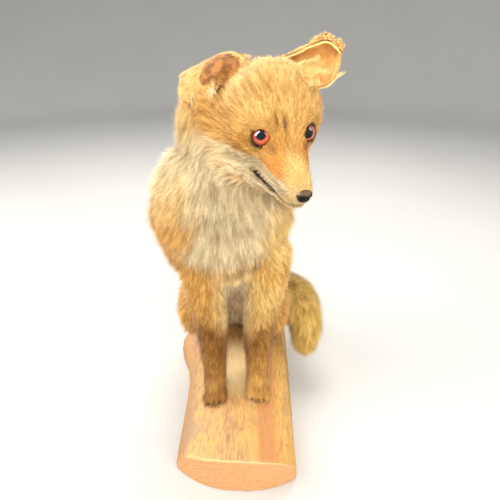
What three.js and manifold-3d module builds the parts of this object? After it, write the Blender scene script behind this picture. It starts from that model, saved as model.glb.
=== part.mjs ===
// A mounted young fox, sitting upright on a split log with its head turned to its left.
// Millimetres, +Z up. The origin is the middle of the log's flat underside, and the
// fox faces -Y, so its left side is +X.
import * as THREE from 'three';
import { mergeVertices } from 'three/addons/utils/BufferGeometryUtils.js';
import Module from 'manifold-3d';

const wasm = await Module();
wasm.setup();

// ---------------------------------------------------------------- driving dimensions
const GAP = 0.4; // clearance left around a piece where its neighbour is cut by it

// the split log: rounded side up, flat side down
const LOG_LENGTH = 330;
const LOG_HALF_WIDTH = 69;
const LOG_HEIGHT = 52;
const LOG_EDGE_HEIGHT = 5; // upright rim left along the two long edges
const LOG_ARCH = 0.86; // 1 is a true ellipse; less fills the arch towards its edges
const LOG_FRONT_BULGE = 21; // how far the front end swells forward between its corners
const LOG_KNOT = { reach: 23, at: 62, spread: 42 }; // swelling on the fox's right side
const LOG_WIDENING = 8; // the fox's left side widens by this towards the back

// the head turns about the point midway between the eyes
const EYE_MIDDLE = new THREE.Vector3(47.8, -74.3, 366.4);
const HEAD_YAW = 22.3; // degrees towards the fox's left
const HEAD_PITCH = 22.5; // degrees, nose down
const HEAD_ROLL = 0.9;
const EYE_SPACING = 47.4; // between the fronts of the two eyes
const EYE_RADIUS = 8.6;
const EYE_BULGE = 2; // how far the eyeballs stand ahead of the point between them
const EYE_DROP = 2.2; // and how far they lie below it
const EYE_SPLAY = 27; // degrees each eye looks out from straight ahead
const MUZZLE_LENGTH = 56; // from between the eyes to the tip of the nose
const MUZZLE_DROP = 26; // the nose lies this far below the eyes
const NOSE = { half: 7.6, tall: 6.2, deep: 5.5 };
const EAR_THICKNESS = 3.2;
const EAR_REACH = { left: 56, right: 55 }; // from the crown out to each ear's far edge

// the body
const LEG_SPACING = { left: 25.5, right: -27.5 }; // X of each foreleg's middle
const FORELEG_Y = -60;
const TOE_TIP_Y = -88;
const HIND_TOE_TIP_Y = -14;
const HAUNCH_LEFT = { out: 48, heelX: 46, toeX: 27 }; // how far its thigh and foot stand out
const HAUNCH_RIGHT = { out: 60, heelX: 52, toeX: 41 };
const CLAW = { radius: 1.3, length: 8 };
const RUMP_Y = 84;
const NECK_Z = 318; // level of the cut between trunk and neck
const CHEST_X = -14; // the chest's middle, as the body leans to the fox's right
const TAIL_THICKNESS = 46;

const COLOURS = {
  coat: 0xd2a060, cream: 0xd8c9a6, sock: 0x8e6038, tail: 0xc4a05a, ear: 0xb9783f,
  nose: 0x241b17, eye: 0xd8764f, wood: 0xc69a62,
};

// ---------------------------------------------------------------- solids from sections
const HALF_TURN = Math.PI;
const TO_LEFT = new THREE.Vector3(1, 0, 0);
const TO_RIGHT = new THREE.Vector3(-1, 0, 0);

function manifoldFrom(positions, triangles) {
  const mesh = new wasm.Mesh({
    numProp: 3,
    vertProperties: new Float32Array(positions),
    triVerts: new Uint32Array(triangles),
  });
  return new wasm.Manifold(mesh);
}

// Triangles that come out facing inwards are turned over.
function facingOut(positions, triangles) {
  const solid = manifoldFrom(positions, triangles);
  return solid.volume() > 0 ? solid : manifoldFrom(positions, triangles.toReversed());
}

// Closes a stack of equal rings into one solid, with a point at each end.
function solidFromRings(rings, startPoint, endPoint) {
  const count = rings[0].length;
  const positions = [];
  for (const point of [startPoint, endPoint, ...rings.flat()]) positions.push(point.x, point.y, point.z);
  const vertex = (ring, index) => 2 + ring * count + (index % count);
  const triangles = [];
  for (let i = 0; i < count; i += 1) {
    triangles.push(0, vertex(0, i + 1), vertex(0, i));
    for (let ring = 0; ring < rings.length - 1; ring += 1) {
      const [a, b] = [vertex(ring, i), vertex(ring, i + 1)];
      const [c, d] = [vertex(ring + 1, i + 1), vertex(ring + 1, i)];
      triangles.push(a, b, c, a, c, d);
    }
    triangles.push(1, vertex(rings.length - 1, i), vertex(rings.length - 1, i + 1));
  }
  return facingOut(positions, triangles);
}

// A loft through stations [x, y, z, half width, ahead, behind]. Each section stands across
// the spine; `ahead` is its depth towards side x spine, and `behind` its depth the other way.
// A square below 1 fills the section's corners, and the ends close in domes.
function loft(stations, { sides = 16, rings = 10, square = 1, domes = [10, 10], side = TO_LEFT }, grow = 0) {
  const spine = new THREE.CatmullRomCurve3(stations.map(([x, y, z]) => new THREE.Vector3(x, y, z)));
  const sizes = new THREE.CatmullRomCurve3(stations.map((s) => new THREE.Vector3(s[3], s[4], s[5])));
  const bend = (value) => Math.sign(value) * Math.abs(value) ** square;
  const ring = (u, shift, shrink) => {
    const along = spine.getTangent(u);
    const across = side.clone().addScaledVector(along, -side.dot(along)).normalize();
    const ahead = new THREE.Vector3().crossVectors(across, along);
    const size = sizes.getPoint(u).addScalar(grow).multiplyScalar(shrink);
    const centre = spine.getPoint(u).addScaledVector(along, shift);
    return Array.from({ length: sides }, (_, index) => {
      const angle = (2 * HALF_TURN * index) / sides;
      const depth = Math.sin(angle) > 0 ? size.y : size.z;
      return centre.clone()
        .addScaledVector(across, size.x * bend(Math.cos(angle)))
        .addScaledVector(ahead, depth * bend(Math.sin(angle)));
    });
  };
  const tip = (u, shift) => spine.getPoint(u).addScaledVector(spine.getTangent(u), shift);
  const dome = [66, 34].map((degrees) => THREE.MathUtils.degToRad(degrees));
  const [start, end] = domes.map((depth) => depth + grow);
  const stack = [];
  for (const angle of dome) stack.push(ring(0, -start * Math.sin(angle), Math.cos(angle)));
  for (let i = 0; i <= rings; i += 1) stack.push(ring(i / rings, 0, 1));
  for (const angle of dome.toReversed()) stack.push(ring(1, end * Math.sin(angle), Math.cos(angle)));
  return solidFromRings(stack, tip(0, -start), tip(1, end));
}

function ball([x, y, z], [halfX, halfY, halfZ], grow = 0, detail = 14) {
  const geometry = new THREE.SphereGeometry(1, detail, Math.round(detail * 0.7));
  geometry.scale(halfX + grow, halfY + grow, halfZ + grow);
  geometry.translate(x, y, z);
  return manifoldFromGeometry(geometry);
}

function manifoldFromGeometry(source) {
  const geometry = source.clone();
  geometry.deleteAttribute('normal');
  geometry.deleteAttribute('uv');
  const merged = mergeVertices(geometry, 1e-4);
  return manifoldFrom(merged.attributes.position.array, merged.index.array);
}

// The closed solid between two grids of points, upper[row][column] over lower[row][column].
function solidBetween(upper, lower) {
  const [rows, columns] = [upper.length, upper[0].length];
  const positions = [];
  for (const point of [...upper.flat(), ...lower.flat()]) positions.push(point.x, point.y, point.z);
  const vertex = (side, row, column) => side * rows * columns + row * columns + column;
  const triangles = [];
  const quad = (a, b, c, d) => triangles.push(a, b, c, a, c, d);
  for (let row = 0; row < rows - 1; row += 1) {
    for (let column = 0; column < columns - 1; column += 1) {
      const corners = (side) => [[0, 0], [0, 1], [1, 1], [1, 0]].map(
        ([down, over]) => vertex(side, row + down, column + over));
      quad(...corners(0));
      quad(...corners(1).toReversed());
    }
  }
  const rim = [];
  for (let column = 0; column < columns - 1; column += 1) rim.push([0, column]);
  for (let row = 0; row < rows - 1; row += 1) rim.push([row, columns - 1]);
  for (let column = columns - 1; column > 0; column -= 1) rim.push([rows - 1, column]);
  for (let row = rows - 1; row > 0; row -= 1) rim.push([row, 0]);
  rim.forEach((here, index) => {
    const next = rim[(index + 1) % rim.length];
    quad(vertex(0, ...next), vertex(0, ...here), vertex(1, ...here), vertex(1, ...next));
  });
  return facingOut(positions, triangles);
}

// A bent sheet of even thickness over surface(u, v), u and v from 0 to 1. Swollen, it also
// reaches past its edges.
function sheet(surface, thickness, rows, columns, grow = 0) {
  const step = 0.01;
  const reach = (share) => share + (share - 0.5) * grow * 0.05;
  const face = (u, v, shift) => {
    const alongU = surface(u + step, v).sub(surface(u - step, v));
    const alongV = surface(u, v + step).sub(surface(u, v - step));
    return surface(u, v).addScaledVector(alongU.cross(alongV).normalize(), shift);
  };
  const plate = (shift) => Array.from({ length: rows + 1 }, (_, i) => (
    Array.from({ length: columns + 1 }, (__, j) => face(reach(i / rows), reach(j / columns), shift))));
  const half = thickness / 2 + grow;
  return solidBetween(plate(half), plate(-half));
}

const largest = (solid) => solid.decompose().reduce((a, b) => (b.volume() > a.volume() ? b : a));

// ---------------------------------------------------------------- the log
const logFront = (reach) => -LOG_LENGTH / 2 + LOG_FRONT_BULGE * Math.abs(reach - 0.12) ** 2.4;

// Half the log's width at y, on the side that `reach` (-1 to 1) lies towards.
function logHalfWidth(reach, y) {
  const knot = LOG_KNOT.reach * Math.exp(-(((y - LOG_KNOT.at) / LOG_KNOT.spread) ** 2));
  const widening = LOG_WIDENING * (y / LOG_LENGTH + 0.5);
  return LOG_HALF_WIDTH + (reach < 0 ? knot : widening);
}

// Height of the arched top at a share of the half width.
function logTop(reach) {
  const arch = Math.sqrt(Math.max(0, 1 - reach ** 2)) ** LOG_ARCH;
  return LOG_EDGE_HEIGHT + (LOG_HEIGHT - LOG_EDGE_HEIGHT) * arch;
}

// Flat below and arched above; `grow` swells it for cutting its neighbours.
function logSolid(grow = 0) {
  const [across, along] = [14, 12];
  const plate = (height) => Array.from({ length: across + 1 }, (_, i) => {
    const reach = -Math.cos((HALF_TURN * i) / across);
    return Array.from({ length: along + 1 }, (__, j) => {
      const front = logFront(reach) - grow;
      const y = front + (LOG_LENGTH / 2 + grow - front) * (j / along);
      return new THREE.Vector3((logHalfWidth(reach, y) + grow) * reach, y, height(reach));
    });
  });
  return solidBetween(plate((reach) => logTop(reach) + grow), plate(() => -grow));
}

// ---------------------------------------------------------------- the head
// Head pieces are made in the head's own frame: the point midway between the eyes is its
// origin, -Y is ahead and +Z is up. Stations run from the nose back.
const HEAD_TURN = new THREE.Matrix4().compose(
  EYE_MIDDLE,
  new THREE.Quaternion().setFromEuler(new THREE.Euler(
    THREE.MathUtils.degToRad(HEAD_PITCH),
    THREE.MathUtils.degToRad(HEAD_ROLL),
    THREE.MathUtils.degToRad(HEAD_YAW),
    'ZXY',
  )),
  new THREE.Vector3(1, 1, 1),
);
const onHead = (solid) => solid.transform(HEAD_TURN.elements);

const skull = (grow = 0) => loft([
  [0, -MUZZLE_LENGTH + 6, -28.5, 10.5, 9, 9.5],
  [0, -40, -27, 13.5, 12.5, 11],
  [0, -27, -25.5, 16.5, 15.5, 11.5],
  [0, -15, -23, 21, 18, 13],
  [0, -5, -19, 24, 18, 17],
  [0, 6, -15, 36, 30, 23],
  [0, 20, -13, 47, 51, 29],
  [0, 38, -11, 53, 60, 36],
  [0, 56, -5, 51, 55, 40],
], { sides: 20, rings: 13, square: 0.86, domes: [4, 26] }, grow);

const jaw = (grow = 0) => loft([
  [0, -46, -41, 8.5, 1.2, 4.5],
  [0, -36, -41.5, 13, 1.6, 6],
  [0, -20, -42, 19.5, 3, 7.5],
  [0, -8, -42.5, 27, 5.5, 8.5],
  [0, 6, -42, 37, 8, 10],
  [0, 18, -40, 44, 10, 12],
], { sides: 12, rings: 6, square: 0.72, domes: [4, 8] }, grow);

const nosePad = (grow = 0) => ball(
  [0, -MUZZLE_LENGTH + NOSE.deep, -MUZZLE_DROP], [NOSE.half, NOSE.deep, NOSE.tall], grow, 12);

// `ahead` moves the ball out along its own line of sight.
function eyeball(sign, ahead = 0, grow = 0) {
  const splay = THREE.MathUtils.degToRad(EYE_SPLAY);
  const set = ahead + EYE_BULGE - EYE_RADIUS;
  const middle = [sign * (EYE_SPACING / 2 + set * Math.sin(splay)), -set * Math.cos(splay), -EYE_DROP];
  return ball(middle, [EYE_RADIUS, EYE_RADIUS, EYE_RADIUS], grow, 10);
}

// The hole that the eye sits in, open to the front.
const socket = (sign, grow) => eyeball(sign, 0, grow).add(eyeball(sign, 6, grow));

// The left ear is a dried cup that stands out sideways; its upper rim is rolled forward.
function leftEar(grow = 0) {
  const root = new THREE.Vector3(46, -24, 408);
  const surface = (u, v) => {
    const turn = THREE.MathUtils.degToRad(-75 + 175 * v);
    const radius = 15 + 6 * Math.sin(HALF_TURN * u);
    return root.clone().add(new THREE.Vector3(
      EAR_REACH.left * u,
      radius * Math.cos(turn) * 0.7 - 4 * u,
      radius * Math.sin(turn) * (1 - 0.15 * u) + 19 * u,
    ));
  };
  return sheet(surface, EAR_THICKNESS, 6, 8, grow);
}

// The right ear is folded over: it rises from the head, bends and hangs forward.
function rightEar(grow = 0) {
  const root = new THREE.Vector3(13, -46, 406);
  const surface = (u, v) => {
    const turn = THREE.MathUtils.degToRad(10 + (205 - 25 * u) * v);
    const rise = 19 + 3 * Math.sin(HALF_TURN * u);
    return root.clone().add(new THREE.Vector3(
      -EAR_REACH.right * u, 16 * Math.cos(turn), rise * Math.sin(turn) - 12 * u * u));
  };
  return sheet(surface, EAR_THICKNESS, 6, 8, grow);
}

// ---------------------------------------------------------------- the body
// Trunk and neck are one loft from the rump up, parted by a level cut.
const body = (grow = 0) => loft([
  [0, RUMP_Y, 84, 46, 40, 38],
  [-1, RUMP_Y - 11, 118, 56, 47, 48],
  [-3, RUMP_Y - 36, 162, 58, 55, 50],
  [-6, 16, 208, 62, 60, 54],
  [CHEST_X + 1, -16, 248, 71, 68, 56],
  [CHEST_X, -33, 282, 76, 58, 56],
  [CHEST_X + 5, -37, 312, 68, 48, 53],
  [CHEST_X + 12, -36, 338, 53, 36, 51],
  [0, -35, 362, 54, 34, 48],
  [7, -34, 384, 53, 37, 44],
], { sides: 18, rings: 11, square: 0.95, domes: [36, 22] }, grow);

function neck(grow = 0) {
  const above = new THREE.BoxGeometry(400, 400, 200 + 2 * grow);
  above.translate(0, 0, NECK_Z + 100);
  return body(grow).intersect(manifoldFromGeometry(above));
}

// Stations rise from the paw; `middle` is the leg's X where it stands.
function foreleg(sign, middle, grow = 0) {
  const shape = loft([
    [middle, FORELEG_Y - 6, 62, 14.5, 18, 14],
    [middle, FORELEG_Y, 78, 14.5, 14.5, 14.5],
    [middle, FORELEG_Y, 100, 16.5, 16, 16],
    [middle + sign * 0.5, FORELEG_Y, 138, 18, 17, 18],
    [middle + sign * 4.5, FORELEG_Y + 2, 180, 21, 20, 22],
    [middle + sign * 10, FORELEG_Y + 8, 212, 24, 24, 27],
    [middle + sign * 13, FORELEG_Y + 14, 240, 24, 26, 30],
  ], { sides: 12, rings: 7, domes: [12, 16] }, grow);
  return shape.add(paw(middle, TOE_TIP_Y, 15, grow));
}

// A foot seen from above: four toes side by side ahead of a pad, each with a small claw.
// It rests on the log, so every toe follows the arch.
function paw(middle, tipY, half, grow = 0) {
  const toeHalf = half * 0.36;
  const ground = (x) => logTop(x / LOG_HALF_WIDTH);
  let foot = ball([middle, tipY + 20, ground(middle) + 6], [half, 18, 11], grow, 10);
  for (const place of [-1.5, -0.5, 0.5, 1.5]) {
    const x = middle + place * toeHalf * 1.35;
    const toeY = tipY + (Math.abs(place) < 1 ? 9 : 12);
    const claw = new THREE.ConeGeometry(CLAW.radius + grow, CLAW.length, 4);
    claw.rotateX(HALF_TURN * 0.62);
    claw.translate(x, toeY - 8, ground(x) + 3);
    foot = foot.add(ball([x, toeY, ground(x) + 5], [toeHalf + 0.6, 9, 7.5], grow, 7));
    foot = foot.add(manifoldFromGeometry(claw));
  }
  return foot;
}

// Thigh folded against the flank, with the long hind foot flat on the log beneath it.
function hindleg(sign, { out, heelX, toeX }, grow = 0) {
  const thigh = loft([
    [sign * (out - 18), 80, 104, 21, 42, 42],
    [sign * (out - 9), 52, 110, 26, 54, 50],
    [sign * (out - 2), 20, 118, 25, 48, 44],
    [sign * out, -4, 124, 17, 30, 30],
  ], { sides: 12, rings: 4, domes: [18, 13], side: TO_RIGHT }, grow);
  const foot = loft([
    [sign * heelX, 72, 58, 13, 18, 18],
    [sign * (heelX + toeX) / 2, 38, 54, 12.5, 15, 18],
    [sign * toeX, 8, 52, 12, 10, 14],
  ], { sides: 10, rings: 2, domes: [12, 8], side: TO_RIGHT }, grow);
  return thigh.add(foot).add(paw(sign * toeX, HIND_TOE_TIP_Y, 12.5, grow));
}

function tail(grow = 0) {
  const half = TAIL_THICKNESS / 2;
  return loft([
    [24, 112, 80, half * 0.6, half * 0.6, half * 0.6],
    [58, 104, 92, half * 0.85, half * 0.85, half * 0.85],
    [82, 78, 103, half, half, half],
    [93, 48, 96, half, half, half],
    [95, 26, 78, half, half * 0.95, half],
    [94, 14, 62, half * 0.8, half * 0.8, half * 0.8],
  ], { sides: 12, rings: 9, domes: [12, 15] }, grow);
}

// ---------------------------------------------------------------- assembly
const LEFT = 1;
const RIGHT = -1;

// Each piece is its colour, roughness, shape and, where that differs, the shape that it
// cuts out of its neighbours. Both shapes are functions of how far they are swollen.
const pieces = {
  log_base: [COLOURS.wood, 0.75, logSolid],
  eye_left: [COLOURS.eye, 0.15, (g) => onHead(eyeball(LEFT, 0, g)), (g) => onHead(socket(LEFT, g))],
  eye_right: [COLOURS.eye, 0.15, (g) => onHead(eyeball(RIGHT, 0, g)), (g) => onHead(socket(RIGHT, g))],
  nose: [COLOURS.nose, 0.45, (g) => onHead(nosePad(g))],
  head: [COLOURS.coat, 0.9, (g) => onHead(skull(g))],
  lower_jaw: [COLOURS.cream, 0.9, (g) => onHead(jaw(g))],
  ear_left: [COLOURS.ear, 0.8, leftEar],
  ear_right: [COLOURS.ear, 0.8, rightEar],
  neck: [COLOURS.coat, 0.95, neck],
  foreleg_left: [COLOURS.sock, 0.95, (g) => foreleg(LEFT, LEG_SPACING.left, g)],
  foreleg_right: [COLOURS.sock, 0.95, (g) => foreleg(RIGHT, LEG_SPACING.right, g)],
  hindleg_left: [COLOURS.coat, 0.95, (g) => hindleg(LEFT, HAUNCH_LEFT, g)],
  hindleg_right: [COLOURS.coat, 0.95, (g) => hindleg(RIGHT, HAUNCH_RIGHT, g)],
  tail: [COLOURS.tail, 0.95, tail],
  trunk: [COLOURS.coat, 0.95, body],
};

function meshFrom(name, solid, colour, roughness) {
  const { vertProperties, triVerts } = solid.getMesh();
  const geometry = new THREE.BufferGeometry();
  geometry.setAttribute('position', new THREE.BufferAttribute(vertProperties, 3));
  geometry.setIndex(new THREE.BufferAttribute(triVerts, 1));
  const mesh = new THREE.Mesh(
    geometry, new THREE.MeshStandardMaterial({ color: colour, roughness, metalness: 0 }));
  mesh.name = name;
  return mesh;
}

// A piece is cut by every swollen piece that comes before it, so that neighbours meet
// without touching, and only its main body is kept.
const fox = new THREE.Group();
const cutters = [];
for (const [name, [colour, roughness, shape, cutter = shape]] of Object.entries(pieces)) {
  const solid = cutters.reduce((rest, other) => rest.subtract(other), shape(0));
  fox.add(meshFrom(name, largest(solid), colour, roughness));
  cutters.push(cutter(GAP));
}

export default fox;
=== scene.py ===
"""A mounted young fox with dried, torn ears, sitting upright on a split log.

Metres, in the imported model's frame: the fox faces -Y, its left side is +X and the log's
flat underside lies on the floor. Shaping formulas work in millimetres, as marked.
"""

import math

import bpy
import numpy as np
from mathutils import Euler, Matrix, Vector
from mathutils.bvhtree import BVHTree
from mathutils.kdtree import KDTree


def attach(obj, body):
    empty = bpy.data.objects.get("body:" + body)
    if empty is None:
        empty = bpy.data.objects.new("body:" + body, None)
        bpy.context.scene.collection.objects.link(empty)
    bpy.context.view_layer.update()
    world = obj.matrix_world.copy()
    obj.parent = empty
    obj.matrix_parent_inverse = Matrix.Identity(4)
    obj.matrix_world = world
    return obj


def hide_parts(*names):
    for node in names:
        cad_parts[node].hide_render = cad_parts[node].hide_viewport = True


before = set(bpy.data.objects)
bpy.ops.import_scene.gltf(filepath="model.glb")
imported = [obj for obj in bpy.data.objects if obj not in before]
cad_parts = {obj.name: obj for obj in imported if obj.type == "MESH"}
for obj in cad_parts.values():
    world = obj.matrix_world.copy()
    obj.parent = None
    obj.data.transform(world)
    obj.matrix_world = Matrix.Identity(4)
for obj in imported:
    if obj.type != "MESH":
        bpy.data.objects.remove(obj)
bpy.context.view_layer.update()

# ------------ driving sizes
MM = 0.001
ROOT = "root"

# the head's own frame: its origin lies midway between the eyes, -Y is ahead
EYE_MIDDLE = np.array([47.8, -74.3, 366.4])  # mm
HEAD_YAW, HEAD_PITCH, HEAD_ROLL = (math.radians(degrees) for degrees in (22.3, 22.5, 0.9))
HEAD_TURN = np.array(Euler((HEAD_PITCH, HEAD_ROLL, HEAD_YAW), "YXZ").to_matrix())
EYE_RADIUS = 8.6  # mm
EYE_PLACE = {1: (22.6, 5.6, -3.4), -1: (-20.7, 5.9, -4.3)}  # mm, ball middles, head's frame
# degrees outwards and upwards: where each socket opens, and where its glass iris looks
SOCKET_TURN = {1: (14, 34), -1: (30, 24)}
IRIS_TURN = {1: (-15, 29), -1: (37, 42)}
# degrees from the socket's axis to the lids' edge, at each eighth of a turn: from the side
# towards the nose, over the top and round below
LID_REACH = {1: (38, 31, 34, 61, 72, 66, 43, 57), -1: (82, 70, 66, 64, 63, 61, 61, 78)}
EAR_HOLLOW = np.array([74.0, -51.0, 411.0])  # mm, where the left ear's root is sunk in the head
NOSE_MIDDLE = np.array([0.0, -50.5, -26.0])  # mm, in the head's frame
NOSE_HALF = np.array([7.7, 5.6, 6.4])  # mm

LOG_HALF_WIDTH, LOG_EDGE_HEIGHT, LOG_HEIGHT = 69, 5, 52  # mm
LOG_ARCH = 0.86  # how full the log's arched section is; 1 is an ellipse
PAW_X = {"fore": (25.5, -27.5), "hind": (27, -41)}  # mm, left and right
TOE_TIP_Y = {"fore": -88, "hind": -14}  # mm
PAW_HALF_WIDTH = {"fore": 15, "hind": 12.5}  # mm
TOE_SPACING = 0.486  # of a paw's half width
PAW_AHEAD = 4.5  # mm the right forepaw stands ahead of the left
# mm, the tail's middle from its root to its tip
TAIL_STATIONS = ((24, 112, 80), (58, 104, 92), (82, 78, 103), (93, 48, 96), (95, 26, 78), (94, 14, 62))

FLESH = ("trunk", "neck", "head", "lower_jaw", "foreleg_left", "foreleg_right",
         "hindleg_left", "hindleg_right", "tail")
CLOSING = 2.6  # mm the flesh is swollen to close its cuts before it is remeshed
SKIN_VOXEL = 2.6  # mm
LOG_VOXEL = 1.7  # mm
PATCH = 0.003  # how large a lock is on the coat's unwrap
LEADERS = 0.12  # share of the hairs that others are drawn to
SUNK = 0.7  # mm each lock's root lies below the skin
LONGEST_PULL = 0.45  # of a lock's length, how far its tip is drawn to its leader's
TIP_CLEAR, TIP_CLEAR_SHARE = 0.35, 0.13  # mm, and of its length, that a face lock's tip clears
FACE_END, CHEST_END = 16, -30  # mm, how far back the face's and the chest's coat go
BARE_MIDDLE, BARE_HALF = (0.4, 0.72), (0.3, 0.27)  # the bare patch on the right ear's sheet
BEHIND = 0.9  # mm behind an ear's sheet that the hair of its other side starts
UNWRAP_CELLS = 4  # the sets of the ears' hair lie so many to a row on the unwrap
CELL_SIZE, CELL_MARGIN = 0.21, 0.02  # shares of the unwrap's width
MERGE = 0.02  # mm, CAD corners closer than this become one

SIDES = {"left": 1, "right": -1}


# ------------ small tools
def eased(share):
    return share * share * (3 - 2 * share)


def ramp(low, high, value):
    """0 at low and beyond, 1 at high and beyond, with a smooth rise between."""
    return eased(np.clip((value - low) / (high - low), 0, 1))


def bump(value, middle, spread):
    """1 at the middle, falling to nothing on both sides."""
    return np.exp(-((value - middle) / spread) ** 2)


def size_of(vectors):
    return np.linalg.norm(vectors, axis=1)


def unit(vectors):
    return vectors / np.maximum(np.linalg.norm(vectors, axis=-1, keepdims=True), 1e-9)


def along(way, outward):
    """A direction laid along the surface."""
    return unit(way - outward * np.sum(way * outward, axis=1, keepdims=True))


def columns(*values):
    """Values side by side, one row to a place."""
    return np.stack(values, 1)


def in_head(points):
    """World millimetres to the head's own frame."""
    return (points - EYE_MIDDLE) @ HEAD_TURN


def from_head(points):
    return np.asarray(points, float) @ HEAD_TURN.T + EYE_MIDDLE


def log_top(x):
    """Height of the log's arched top, in millimetres."""
    reach = np.clip(np.abs(x) / LOG_HALF_WIDTH, 0, 1)
    return LOG_EDGE_HEIGHT + (LOG_HEIGHT - LOG_EDGE_HEIGHT) * np.sqrt(1 - reach ** 2) ** LOG_ARCH


def above_log(points):
    return points[:, 2] - log_top(points[:, 0])


def on(part, *nodes):
    """True where the nearest flesh node is one of those named."""
    return np.isin(part, [FLESH.index(node) for node in nodes])


def paws():
    """Each paw's kind, middle, half width and the place of its toes' tips, in millimetres."""
    for kind, middles in PAW_X.items():
        for middle in middles:
            yield kind, middle, PAW_HALF_WIDTH[kind], TOE_TIP_Y[kind]


def grain(points, cell, seed):
    """Soft value noise from -1 to 1; `cell` is its size in millimetres along each axis."""
    scaled = points / np.asarray(cell, float) + seed * 17.31
    low = np.floor(scaled).astype(np.int64)
    share = eased(scaled - low)
    total = 0
    for corner in range(8):
        step = np.array([corner & 1, corner >> 1 & 1, corner >> 2 & 1])
        # large primes scramble the corner's whole numbers into a value of its own
        mixed = (low + step) @ np.array([73856093, 19349663, 83492791]) + seed * 7919
        mixed = (mixed ^ (mixed >> 13)) * 1274126177
        value = ((mixed ^ (mixed >> 16)) & 65535) / 32767.5 - 1
        total = total + value * np.prod(np.where(step, share, 1 - share), axis=1)
    return total


def deselect():
    bpy.ops.object.select_all(action="DESELECT")


def hold(piece):
    """Makes one piece the only selected and the active one."""
    deselect()
    piece.select_set(True)
    bpy.context.view_layer.objects.active = piece


def named(name):
    piece = bpy.context.object
    piece.name = name
    piece.data.name = name
    return piece


def rows_of(items, key, width, kind=np.float32):
    """One row of numbers for each item of a mesh."""
    flat = np.empty(len(items) * width, kind)
    items.foreach_get(key, flat)
    return flat.reshape(-1, width)


def places(piece):
    """Vertex places in world millimetres."""
    return rows_of(piece.data.vertices, "co", 3).astype(float) / MM


def put_places(piece, points):
    piece.data.vertices.foreach_set("co", (points * MM).astype(np.float32).ravel())
    piece.data.update()


def normals(piece):
    return rows_of(piece.data.vertices, "normal", 3).astype(float)


def triangles(piece):
    piece.data.calc_loop_triangles()
    return rows_of(piece.data.loop_triangles, "vertices", 3, np.int32)


def tree_of(piece):
    """A tree that finds the nearest place on a piece."""
    return BVHTree.FromPolygons(places(piece).tolist(), triangles(piece).tolist())


def nearest(tree, seeds):
    """The nearest places on a tree, the directions they face, and their triangles."""
    found = zip(*(tree.find_nearest(seed)[:3] for seed in seeds.tolist()))
    return [np.array(column) for column in found]


def note(piece, name, values):
    """Stores one number, or one vector, for each vertex."""
    values = np.asarray(values, np.float32)
    kind, key = ("FLOAT", "value") if values.ndim == 1 else ("FLOAT_VECTOR", "vector")
    attribute = piece.data.attributes.new(name, kind, "POINT")
    attribute.data.foreach_set(key, values.ravel())


def noted(piece, name):
    return rows_of(piece.data.attributes[name].data, "value", 1)[:, 0]


def modify(piece, kind, **settings):
    hold(piece)
    modifier = piece.modifiers.new(kind.title(), kind)
    for key, value in settings.items():
        setattr(modifier, key, value)
    bpy.ops.object.modifier_apply(modifier=modifier.name)


def edit(piece, action="SELECT"):
    hold(piece)
    bpy.ops.object.mode_set(mode="EDIT")
    bpy.ops.mesh.select_all(action=action)


def done():
    bpy.ops.object.mode_set(mode="OBJECT")


def face_outwards(piece):
    edit(piece)
    bpy.ops.mesh.normals_make_consistent(inside=False)
    done()
    return piece


def fresh(shape, name, **settings):
    """A new simple shape: a ball, a ring or a grid."""
    deselect()
    getattr(bpy.ops.mesh, f"primitive_{shape}_add")(**settings)
    return named(name)


def join(pieces, name):
    """Joins pieces in the first one."""
    deselect()
    for piece in pieces:
        piece.select_set(True)
    bpy.context.view_layer.objects.active = pieces[0]
    if len(pieces) > 1:
        bpy.ops.object.join()
    return named(name)


def copy_of(nodes, name):
    """One merged copy of CAD nodes; the nodes themselves stay as they are."""
    twins = []
    for node in nodes:
        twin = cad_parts[node].copy()
        twin.data = twin.data.copy()
        twin.parent = None
        twin.hide_render = False
        bpy.context.collection.objects.link(twin)
        twins.insert(0, twin)
    piece = join(twins, name)
    for key in [key for key in piece.keys() if key.startswith("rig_")]:
        del piece[key]
    piece.data.materials.clear()
    edit(piece)
    bpy.ops.mesh.remove_doubles(threshold=MERGE * MM)
    done()
    return piece


def smooth_shaded(piece):
    hold(piece)
    bpy.ops.object.shade_smooth()


def finish(piece, material, replaced=()):
    piece.data.materials.clear()
    piece.data.materials.append(material)
    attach(piece, ROOT)
    if replaced:
        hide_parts(*replaced)


# ------------ colours and materials
def tint(hexed):
    """A colour written as RRGGBB, made linear."""
    shares = [int(hexed[at:at + 2], 16) / 255 for at in (0, 2, 4)]
    linear = [share / 12.92 if share < 0.04 else ((share + 0.055) / 1.055) ** 2.4 for share in shares]
    return (*linear, 1)


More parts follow.
